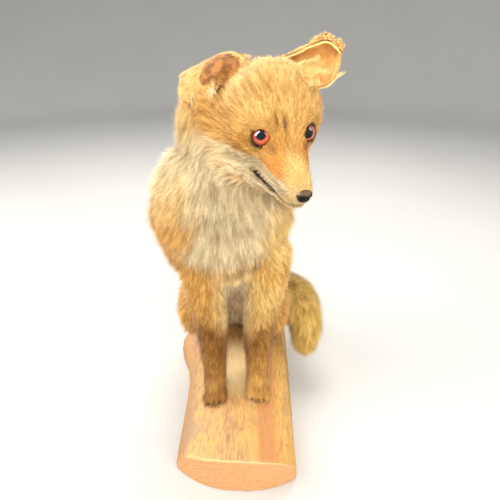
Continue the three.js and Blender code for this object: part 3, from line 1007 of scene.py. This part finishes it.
def make_eyes():
    material = eye_material()
    for side, sign in SIDES.items():
        eye = fresh("uv_sphere", f"glass_eye_{side}", segments=64, ring_count=40,
                    radius=EYE_RADIUS * MM)
        own = places(eye)
        # a slight cornea swells ahead of the iris
        line = eye_line(IRIS_TURN, sign)
        off = np.degrees(np.arccos(np.clip(unit(own) @ line, -1, 1)))
        own = own * (1 + 0.035 * ramp(50, 20, off))[:, None]
        put_places(eye, from_head(own + EYE_PLACE[sign]))
        note(eye, "off", off)
        note(eye, "lit", ramp(-0.75, 0.85, (unit(own) - line) @ [0.62, 0.0, -0.78]))
        smooth_shaded(eye)
        finish(eye, material, [f"eye_{side}"])


def lid_material():
    made = Finish("eyelid_edge", 0.45, 0.4)
    mottle = made.noise(made.place(), 700, 3)
    return made.end(made.fade(mottle, 0.35, 0.7, "1C110B", "4A2F1E"), mottle, 0.5, 0.4)


def make_lids():
    """A thin dark edge round each eye, made from a ring and laid on the ball."""
    lids = []
    for side, sign in SIDES.items():
        lid = fresh("torus", f"lid_{side}", major_segments=72, minor_segments=8,
                    major_radius=1.0, minor_radius=0.2)
        ring = places(lid) * MM
        turn = np.arctan2(ring[:, 1], ring[:, 0])
        round_it = np.arctan2(ring[:, 2], np.hypot(ring[:, 0], ring[:, 1]) - 1)
        line, inward, upward = eye_axes(sign)
        off = np.radians(lid_opening(turn, sign) + 1.5 + 2.4 * np.cos(round_it))
        far = EYE_RADIUS + 0.45 + 0.5 * np.sin(round_it)
        around = inward * np.cos(turn)[:, None] + upward * np.sin(turn)[:, None]
        own = (line * np.cos(off)[:, None] + around * np.sin(off)[:, None]) * far[:, None]
        put_places(lid, from_head(own + EYE_PLACE[sign]))
        lids.append(face_outwards(lid))
    lids = join(lids, "eyelid_edges")
    smooth_shaded(lids)
    finish(lids, lid_material())


def nose_material():
    made = Finish("nose_leather", 0.4, 0.35)
    place = made.place()
    pebble = made.add("TexVoronoi", {"Vector": place, "Scale": 1100.0}).outputs["Distance"]
    colour = made.fade(made.noise(place, 260, 3), 0.35, 0.7, "42321C", "624C2C")
    colour = made.blend(made.read("front"), colour, "241611")
    return made.end(made.blend(made.read("pit"), colour, "080505"), pebble, 0.45, 0.35)


def make_nose():
    nose = fresh("uv_sphere", "nose_leather", segments=72, ring_count=48, radius=MM)
    x, y, z = places(nose).T
    wide = 1 - 0.22 * ramp(0.1, -1, z) + 0.05 * ramp(0, 0.8, z)
    own = columns(x * wide, y, z * (1 - 0.12 * ramp(0, 1, z))) * NOSE_HALF
    front = ramp(0.3, -0.3, y)
    pit = np.zeros(len(own))
    for sign in SIDES.values():
        hole = np.hypot((own[:, 0] - sign * 3.5) / 2.7, (own[:, 2] + 0.2) / 2.5)
        slot = np.hypot((own[:, 0] - sign * 5.6) / 2.4, (own[:, 2] + 1.0) / 1.1)
        opening = np.maximum(ramp(1.25, 0.55, hole), ramp(1.3, 0.6, slot))
        pit = np.maximum(pit, opening * front)
    groove = bump(own[:, 0], 0, 0.7) * front * ramp(3.5, 0, own[:, 2])
    note(nose, "pit", pit)
    note(nose, "front", ramp(4.6, 2.4, own[:, 2]) * ramp(-0.8, -2.6, own[:, 1]))
    own = own * (1 - (0.42 * pit + 0.1 * groove)[:, None])
    put_places(nose, from_head(own + NOSE_MIDDLE))
    smooth_shaded(nose)
    finish(nose, nose_material(), ["nose"])


# ------------ ears, teeth, claws, whiskers
def left_cup(u, v):
    """The left ear's hollow face: u from root to tip, v from its lower to its upper rim."""
    ragged = 0.025 * grain(columns(v * 60, u * 4, u * 0), 6, 21) * ramp(0.7, 1, u)
    u = u * (0.9 + 0.08 * ramp(0, 0.35, v) + ragged)
    turn = np.radians(-75 + 175 * v)
    reach = 14.5 + 3.5 * bump(u, 0.62, 0.38) - 4 * ramp(0.75, 1.05, u)
    droop = 8 * ramp(0.68, 1.02, u) * ramp(0.35, 0.9, v)
    return np.array([42, -24, 406.3]) + columns(
        57 * u, reach * np.cos(turn) * 0.75 - 4 * u, reach * np.sin(turn) + 17.7 * u - droop)


def left_back(u, v):
    """The furred skin behind the cup; past the cup's upper rim it stands up, torn."""
    over = np.maximum(v * 1.16 - 1, 0) / 0.16
    points = left_cup(-0.12 + u * 1.17, np.minimum(v * 1.16, 1))
    middle = np.array([42, -30, 406.3]) + u[:, None] * [57, -4, 17.7]
    away = unit((points - middle) * [0, 1, 1])
    torn = 1 + 0.35 * grain(columns(u * 80, v * 5, u * 0), 5, 23)
    high = over * (0.8 + 3.8 * ramp(0.42, 0.6, u)) * torn
    return points + away * 2.9 + high[:, None] * [0.12, 0.05, 1.0]


def left_flap(u, v):
    """The crumpled piece at the left ear's mouth: u away from the head, v upwards."""
    corners = np.array([[[66, -40, 401], [48, -48, 419.5]], [[82, -27, 402], [77, -29, 424.5]]])
    across, up = u[:, None], v[:, None]
    low, high = (corners[0, k] * (1 - across) + corners[1, k] * across for k in (0, 1))
    points = low * (1 - up) + high * up
    folds = 1.6 * np.sin(6 * u + 3 * v) + 1.0 * np.sin(10 * v - 4 * u) + 3 * np.sin(math.pi * u)
    bite = (6 * bump(v, 0.72, 0.13) - 3 * bump(v, 0.45, 0.15)) * ramp(0.6, 1, u)
    return points + columns(0.3 * folds * ramp(0, 0.2, u), -0.9 * folds * ramp(0, 0.2, u),
                            0.1 * folds * ramp(0, 0.2, u)) - bite[:, None] * [1, 0, 0]


def right_dome(u, v):
    """The right ear, folded over forwards: u from root to tip, v from behind to its torn edge."""
    torn = grain(columns(u * 70, v * 3, u * 0), 5, 27) * 0.09
    v = v * (1 - 0.14 * ramp(0.65, 0.5, u) + torn * ramp(0.6, 1, v))
    turn = np.radians(10 + (205 - 25 * u) * v)
    reach = 19 + 5 * bump(u, 0.32, 0.32)
    return np.array([13, -46, 406.0]) + columns(
        -55 * u, 16 * np.cos(turn), reach * np.sin(turn) - 12 * u ** 2)


def bare_oval(u, v):
    """1 at the edge of the right ear's bare patch, and less inside it."""
    return np.hypot((u - BARE_MIDDLE[0]) / BARE_HALF[0], (v - BARE_MIDDLE[1]) / BARE_HALF[1])


# The wear of each sheet: how brown, how crumbled and how dry at the rim it is.
def cup_wear(u, v):
    rim = np.maximum(ramp(0.93, 0.98, v), ramp(0.95, 0.99, u) * 0.6) * 0.7
    return 0, ramp(0.9, 1, u) * 0.6, rim


def back_wear(u, v):
    brown = bump(u, 0.62, 0.06) * bump(v, 0.95, 0.05)
    return brown, ramp(0.8, 0.9, v) * ramp(0.3, 0.45, u), 0


def flap_wear(u, v):
    return 0, 0, ramp(0.85, 1, u) * 0.6


def dome_wear(u, v):
    brown = ramp(1.08, 0.94, bare_oval(u, v) + 0.12 * grain(columns(u * 55, v * 55, u * 0), 7, 39))
    return brown, ramp(0.86, 0.94, v) * ramp(0.3, 0.5, u) * (1 - 0.5 * brown), 0


# Each sheet: its name, shape, cuts, thickness (mm), seed, crumpling (mm), wear, and the CAD
# node it replaces.
EAR_SHEETS = (
    ("ear_cup_left", left_cup, (64, 56), 1.9, 31,
     lambda u, v: 0.35 + 0.8 * ramp(0.75, 1, u) + 0.4 * ramp(0.8, 1, v), cup_wear, ["ear_left"]),
    ("ear_back_left", left_back, (80, 56), 1.0, 33,
     lambda u, v: 0.4 + 0.9 * ramp(0.8, 1, v) * ramp(0.3, 0.5, u), back_wear, []),
    ("ear_flap_left", left_flap, (36, 36), 1.2, 35, lambda u, v: 0.9 + 0 * u, flap_wear, []),
    ("ear_dome_right", right_dome, (84, 84), 2.1, 37,
     lambda u, v: 0.5 + 1.7 * ramp(0.72, 0.95, v) * ramp(0.2, 0.4, u), dome_wear, ["ear_right"]),
)


def make_sheet(name, surface, cuts, thickness, seed, crumple):
    """A dried sheet laid on surface(u, v), in mm; returned with the face that hair grows on."""
    sheet = fresh("grid", name, x_subdivisions=cuts[0], y_subdivisions=cuts[1], size=1)
    u, v = (places(sheet)[:, :2] * MM + 0.5).T
    points = surface(u, v)
    put_places(sheet, points)
    wrinkle = grain(points, 8, seed) + 0.45 * grain(points, 3, seed + 1)
    put_places(sheet, points + normals(sheet) * (crumple(u, v) * wrinkle)[:, None])
    note(sheet, "u", u)
    note(sheet, "v", v)
    face = (places(sheet), triangles(sheet), normals(sheet), columns(u, v))
    modify(sheet, "SOLIDIFY", thickness=thickness * MM, offset=-1)
    smooth_shaded(sheet)
    return sheet, face


def ear_material():
    """Dried ear skin; the brown and the crumbled parts are given by the piece's attributes."""
    made = Finish("ear_skin", 0.75, 0.12)
    place = made.place()
    cloud = made.noise(place, 120, 4)
    fine = made.noise(place, 700, 4, 0.65)
    colour = made.fade(cloud, 0.35, 0.65, "DA9E58", "EAB674")
    colour = made.blend(made.times(made.span(fine, 0.45, 0.75), 0.35), colour, "C08444")
    scuffed = made.fade(cloud, 0.38, 0.6, "74481F", "A66D36")
    scuffed = made.blend(made.span(fine, 0.55, 0.7, 0.0, 0.5), scuffed, "BE8C4C")
    colour = made.blend(made.read("brown"), colour, scuffed)
    crumbs = made.fade(fine, 0.38, 0.6, "8A5428", "E2B872")
    colour = made.blend(made.read("crumb"), colour, crumbs)
    colour = made.blend(made.read("rim"), colour, "F4CE88")
    return made.end(colour, made.sum("ADD", made.times(cloud, 0.6), fine), 0.6, 0.8)


def make_ears():
    """Both ears' skins; returns what their hair grows on, by the sheets' names."""
    material = ear_material()
    faces = {}
    for name, surface, cuts, thickness, seed, crumple, wear, replaced in EAR_SHEETS:
        sheet, faces[name] = make_sheet(name, surface, cuts, thickness, seed, crumple)
        u, v = noted(sheet, "u"), noted(sheet, "v")
        for mark, values in zip(("brown", "crumb", "rim"), wear(u, v)):
            note(sheet, mark, values + np.zeros(len(u)))
        finish(sheet, material, replaced)
    return faces


def plain_marks(count, **given):
    """No marking on any hair, apart from those given."""
    return {mark: np.zeros(count) + given.get(mark, 0) for mark, _, _ in MARKINGS}


# Each set of hair on the ears: the sheet, where on it, how many, their lengths (mm), the way
# they lie, how cream they are, the sheet's side (-1 is behind), lift (degrees) and a turn
# of the way they face.
EAR_HAIR = (
    ("ear_back_left", lambda u, v: (v < 0.97) & (u < 0.9),
     5600, (4, 7), (1, 0.2, 0.35), 0.15, -1, 24, (0, 0, 0)),
    ("ear_flap_left", lambda u, v: (v > 0.42) | (u < 0.35),
     4600, (3.5, 6.5), (1, 0.1, 0.3), 0.2, 1, 14, (0, -1, 1)),
    ("ear_flap_left", lambda u, v: (u > 0.86) & (v > 0.3),
     260, (3, 6), (1, 0.1, 0.1), 0.5, 1, 12, (0, -1, 1)),
    ("ear_back_left", lambda u, v: (v > 0.9) & (u > 0.5),
     600, (2.5, 4.5), (0.4, 0.3, 1), 0.2, -1, 50, (0, -1.6, 1)),
    ("ear_back_left", lambda u, v: (v > 0.8) & (u < 0.45),
     1300, (3, 5.5), (0.8, -0.1, 0.6), 0.35, 1, 30, (0, 0, 0)),
    ("ear_back_left", lambda u, v: (v < 0.07) & (u > 0.4),
     900, (8, 12), (1, -0.05, 0.42), 0.35, -1, 8, (0, -2.2, 1.2)),
    ("ear_dome_right", lambda u, v: (bare_oval(u, v) > 1) & (v < 0.85) & (u > 0.12),
     8200, (4.5, 7.5), (-0.8, -0.4, -0.5), 0.1, 1, 20, (0, -1.2, 1.4)),
    ("ear_dome_right", lambda u, v: (v > 0.3) & (v < 0.46) & (u > 0.1),
     1200, (4, 6.5), (-0.4, 0.1, 0.5), 0.1, 1, 38, (0, -1.2, 1.4)),
    ("ear_dome_right", lambda u, v: (u > 0.5) & (u < 0.9) & (v > 0.9),
     420, (6, 12), (0.15, -0.1, -1), 0.6, 1, 15, (0, -1.2, 1.8)),
    ("ear_dome_right", lambda u, v: (u < 0.14) & (v > 0.34) & (v < 0.85),
     1500, (4, 7), (0.5, -0.5, -0.7), 0.15, 1, 14, (0, -1.8, 2.4)),
    ("ear_dome_right", lambda u, v: (u > 0.93) & (v < 0.85),
     700, (3, 5), (-1, -0.1, -0.2), 0.2, 1, 20, (0, -1, 1)),
)


def make_ear_coat(faces, material):
    """Hair on the backs of the ears, and the pale fringes at their edges."""
    rng = np.random.default_rng(23)
    sets = []
    for name, inside, count, lengths, toward, cream, side, lift, facing in EAR_HAIR:
        points, tris, outward, uv = faces[name]
        pick, weights = scatter(points, tris, inside(*uv.T).astype(float), count, rng)
        normal = unit(gathered(outward, tris, pick, weights)) * side
        roots = gathered(points, tris, pick, weights) + normal * (BEHIND if side < 0 else 0)
        way = along(toward + rng.normal(0, 0.22, (count, 3)), normal)
        row, column = divmod(len(sets), UNWRAP_CELLS)
        spots = gathered(uv, tris, pick, weights) * CELL_SIZE + CELL_MARGIN
        spots = spots + np.array([column, row]) / UNWRAP_CELLS
        sets.append((roots, unit(normal + facing), way, rng.uniform(*lengths, count),
                     np.full(count, cream), np.radians(lift * rng.uniform(0.6, 1.4, count)), spots))
    roots, normal, way, length, cream, lift, spots = (np.concatenate(column) for column in zip(*sets))
    width = 0.5 * rng.uniform(0.75, 1.3, len(roots))
    piece = build_locks("coat_ears", roots, normal, way, length, width, lift, spots, rng,
                        marks=plain_marks(len(roots), pale=0.75, cream=cream))
    finish(piece, material)


def make_thorns(name, stations, material):
    """Small curved points, each a drawn-out ball: (root, way, droop, length, radius), in mm."""
    thorns = []
    for root, way, droop, length, radius in stations:
        thorn = fresh("uv_sphere", "thorn", segments=14, ring_count=12, radius=1)
        ball = places(thorn) * MM
        share = (ball[:, 2] + 1) / 2
        way = unit(np.asarray(way, float))
        side = unit(np.cross(way, droop))
        over = np.cross(side, way)
        slim = radius * (1 - 0.72 * share)
        points = (np.asarray(root, float) + way * (length * share)[:, None]
                  + np.asarray(droop, float) * (length * 0.35 * share ** 2)[:, None]
                  + side * (ball[:, 0] * slim)[:, None] + over * (ball[:, 1] * slim)[:, None])
        put_places(thorn, points)
        thorns.append(face_outwards(thorn))
    piece = join(thorns, name)
    smooth_shaded(piece)
    finish(piece, material)


def horn_material(name, dark, light, roughness):
    made = Finish(name, roughness, 0.4)
    streak = made.drawn_noise(made.place(), (900, 260, 900), 4)
    return made.end(made.fade(streak, 0.35, 0.65, dark, light), streak, 0.3, 0.2)


def make_claws():
    stations = []
    for kind, middle, half, tip in paws():
        for toe in (-1.5, -0.5, 0.5, 1.5):
            x = middle + toe * half * TOE_SPACING
            y = tip + (1.5 if abs(toe) < 1 else 4.5)
            y -= PAW_AHEAD if kind == "fore" and middle < 0 else 0
            root = (x, y, log_top(x) + 4.4)
            stations.append((root, (toe * 0.06, -1, -0.2), (0, -0.1, -1), 3.7, 1.05))
    make_thorns("claws", stations, horn_material("claw_horn", "5A4028", "9A7A50", 0.4))


# Each tooth: its place along the muzzle, its distance from the middle, and its size, in mm.
TEETH = ((-1, 20.6, 1.6), (-5, 18.6, 2.0), (-9, 16.8, 1.5), (-12.5, 15.2, 2.2), (-16.5, 13.4, 1.4))


def make_teeth():
    stations = []
    for sign in SIDES.values():
        for ahead, side, size in TEETH:
            root = from_head([[sign * side * 0.97, ahead, mouth_height(ahead) - 1.6]])[0]
            way = HEAD_TURN @ [sign * 0.25, -0.15, 1.0]
            stations.append((root, way, HEAD_TURN @ [0, 0.4, 0.1], size * 1.5, size * 0.55))
    enamel = horn_material("tooth_enamel", "D8C49A", "F4EBD2", 0.3)
    make_thorns("teeth", stations, enamel)


def make_whiskers(skin, material):
    """Long stiff hairs from the whisker pads and over the eyes."""
    rng = np.random.default_rng(29)
    stations = []  # place in the head's frame, side and length
    for sign in SIDES.values():
        for row in range(4):
            for ahead in (-44, -41, -38, -35):
                stations.append((sign * 11, ahead + row, -28 - 2.2 * row, sign, 24 + 3 * row))
        for ahead in (-2, 1, 4):
            stations.append((sign * 15, ahead, 14, sign, 20))
    stations = np.array(stations, float)
    signs, length = stations[:, 3], stations[:, 4]
    roots, outward, _ = nearest(tree_of(skin), from_head(stations[:, :3]))
    count = len(roots)
    way = columns(signs * 0.75, 0.55 + rng.normal(0, 0.16, count), -0.18 + rng.normal(0, 0.2, count))
    brow = stations[:, 2] > 0
    way[brow] = columns(signs * 0.6, np.full(count, 0.2), np.full(count, 0.75))[brow]
    way = along(way @ HEAD_TURN.T, outward)
    length = length * rng.uniform(0.8, 1.2, count)
    dark = (rng.random(count) < 0.55) * ~brow * 1.0
    spots = rng.random((count, 2)) * 0.9 + 0.05
    lift = np.radians(rng.uniform(14, 34, count))
    piece = build_locks("whiskers", roots, outward, way, length, np.where(brow, 0.2, 0.34), lift,
                        spots, rng, clump=0.0, taper=(0.75, 1.0, 0.7, 0.4),
                        marks=plain_marks(count, cream=(1 - dark) * ~brow, dusk=dark * 0.8))
    finish(piece, material)


# ------------ log
def make_log():
    log = copy_of(["log_base"], "split_log")
    modify(log, "REMESH", mode="VOXEL", voxel_size=LOG_VOXEL * MM)
    points, pairs = places(log), edge_pairs(log)
    for _ in range(5):
        points = softened(points, pairs, 0.6)
    put_places(log, points)
    facing = normals(log)
    below = ramp(1.5, 4, points[:, 2])
    end = ramp(0.45, 0.75, np.abs(facing[:, 1]))
    fibres = grain(points, (1.6, 26, 3), 1) * 0.22 + grain(points, (4, 60, 6), 2) * 0.25
    lumps = grain(points, (26, 70, 26), 3) * 0.9
    x, y, _ = points.T
    ledge = 0.7 * ramp(24, 27, x + 0.06 * (y + 100) + grain(points, (30, 25, 30), 8) * 2)
    chips = ramp(0.45, 0.75, grain(points, (4, 9, 5), 4)) * bump(y, -135, 22) * bump(x, 4, 26)
    high = (fibres + lumps - ledge - chips * 0.8) * (1 - end)
    high = high + end * grain(points, (9, 5, 3), 5) * 0.1
    put_places(log, points + facing * (high * below - 0.4 * below)[:, None])
    note(log, "end", end)
    note(log, "depth", -above_log(points))
    smooth_shaded(log)
    finish(log, wood_material(), ["log_base"])


def wood_material():
    made = Finish("bare_wood", 0.72, 0.25)
    place = made.place()
    x, y, _ = made.add("SeparateXYZ", {0: place}).outputs
    fibre = made.drawn_noise(place, (300, 55, 200), 8, 0.72)
    fine = made.drawn_noise(place, (1500, 60, 700), 4, 0.6)
    patch = made.drawn_noise(place, (34, 11, 20), 3, 0.5)
    fleck = made.drawn_noise(place, (260, 110, 200), 5, 0.7)
    colour = made.fade(fibre, 0.32, 0.68, "A67848", "D8AA68")
    gold = made.times(made.span(patch, 0.42, 0.62), made.span(fleck, 0.35, 0.65))
    colour = made.blend(gold, colour, "DEAA54")
    grey = made.span(made.drawn_noise(place, (24, 14, 24), 4, 0.6), 0.52, 0.68)
    colour = made.blend(made.times(grey, 0.65), colour, "A48462")
    # stripes along the log: their edges waver with the grain
    waver = made.sum("MULTIPLY_ADD", patch, 0.012, made.sum("MULTIPLY_ADD", fleck, 0.008, x))
    red = made.times(made.span(waver, 0.031, 0.040), made.span(waver, 0.064, 0.050))
    red = made.times(red, made.span(fibre, 0.25, 0.6, 0.45, 0.95))
    red = made.times(red, made.span(fleck, 0.3, 0.6, 0.5, 1.0))
    colour = made.blend(red, colour, "BE7E50")
    pale = made.times(made.span(waver, -0.012, -0.004), made.span(waver, 0.026, 0.018))
    middle = made.times(made.span(y, -0.085, -0.055), made.span(y, 0.04, 0.0))
    colour = made.blend(made.times(made.times(pale, middle), 0.85), colour, "FADCA2")
    colour = made.blend(made.span(fine, 0.55, 0.72, 0.0, 0.45), colour, "8A6038")
    colour = made.blend(made.span(waver, -0.034, -0.056, 0.0, 0.55), colour, "9C6C46")
    # sawn end: orange tan with growth lines that follow the arch
    bands = made.sum("SINE", made.sum("ADD", made.times(made.read("depth"), 0.9),
                                      made.times(made.noise(place, 40, 3), 26.0)))
    sawn = made.fade(bands, -0.6, 1.0, "C69262", "CE9A66")
    sawn = made.blend(made.span(fleck, 0.4, 0.7, 0.0, 0.35), sawn, "B77A55")
    colour = made.blend(made.read("end"), colour, sawn)
    # painted highlight: a pale band along the top edge of the sawn end, where the edge catches the
    # light
    edge = made.times(made.span(made.read("depth"), 3.0, 0.8), made.read("end"))
    colour = made.blend(made.times(edge, 0.6), colour, "F0CF9A")
    return made.end(colour, made.sum("ADD", fibre, made.times(fine, 0.6)), 0.5, 0.8)


# ------------ studio
CAMERA_PLACE = (0.016, -0.428, 0.441)  # m
CAMERA_TILT = math.radians(62)  # 28 degrees below level
CAMERA_LENS = 28.8
LIT_PLACE = (0.0, -0.02, 0.22)  # m, where the lamps point
# Each lamp: name, place (m), size (m), power (W), colour, and whether it is only a gleam,
# seen by shiny things alone.
LAMPS = (
    ("window_light", (-1.4, -0.25, 1.15), 1.3, 27, (1.0, 0.98, 0.93), False),
    ("front_light", (0.0, -1.6, 1.2), 1.4, 37, (1.0, 0.97, 0.9), False),
    ("side_light", (1.2, -1.0, 0.8), 1.2, 18, (1.0, 0.98, 0.94), False),
    ("top_light", (0.1, 0.7, 1.4), 0.9, 20, (1.0, 0.98, 0.95), False),
    ("window_gleam", (-1.2, 0.12, 1.35), 2.0, 260, (0.9, 0.95, 1.0), True),
    ("side_gleam", (1.1, -0.35, 1.3), 0.9, 14, (0.9, 0.95, 1.0), True),
)


def placed(name, data, place, turn):
    thing = bpy.data.objects.new(name, data)
    thing.location = place
    thing.rotation_euler = turn
    bpy.context.collection.objects.link(thing)
    return thing


def make_lamp(name, place, size, power, colour, gleam):
    light = bpy.data.lights.new(name, "AREA")
    light.size = size
    light.energy = power
    light.color = colour
    turn = (Vector(LIT_PLACE) - Vector(place)).to_track_quat("-Z", "Y").to_euler()
    lamp = placed(name, light, place, turn)
    lamp.visible_glossy = gleam
    lamp.visible_diffuse = not gleam
    lamp.visible_transmission = not gleam


def make_studio():
    camera = bpy.data.cameras.new("camera")
    camera.lens = CAMERA_LENS
    camera.clip_start = 0.01
    bpy.context.scene.camera = placed("camera", camera, CAMERA_PLACE, (CAMERA_TILT, 0, 0))
    for lamp in LAMPS:
        make_lamp(*lamp)
    world = bpy.data.worlds.new("room")
    world.use_nodes = True
    sky = world.node_tree.nodes["Background"].inputs
    sky["Color"].default_value = (0.9, 0.92, 0.95, 1)
    sky["Strength"].default_value = 0.5
    bpy.context.scene.world = world
    bpy.context.scene.view_settings.view_transform = "Standard"
    floor = fresh("grid", "floor", x_subdivisions=60, y_subdivisions=60, size=10)
    points = places(floor) * MM
    points[:, 2] = 1.7 * ramp(2.4, 4.6, np.hypot(points[:, 0], points[:, 1]))
    put_places(floor, points / MM)
    smooth_shaded(floor)
    made = Finish("pale_floor", 0.9, 0.1)
    shade = made.blend(made.noise(made.place(), 3, 2), "BFBDB9", "C7C5C1")
    floor.data.materials.append(made.end(shade))
    floor.visible_glossy = False


make_studio()
make_log()
skin, skin_part = make_skin()
finish(skin, skin_material(), FLESH)
make_eyes()
make_lids()
make_nose()
fur = coat_material()
make_coat(skin, skin_part, fur)
make_ear_coat(make_ears(), fur)
make_whiskers(skin, fur)
make_teeth()
make_claws()
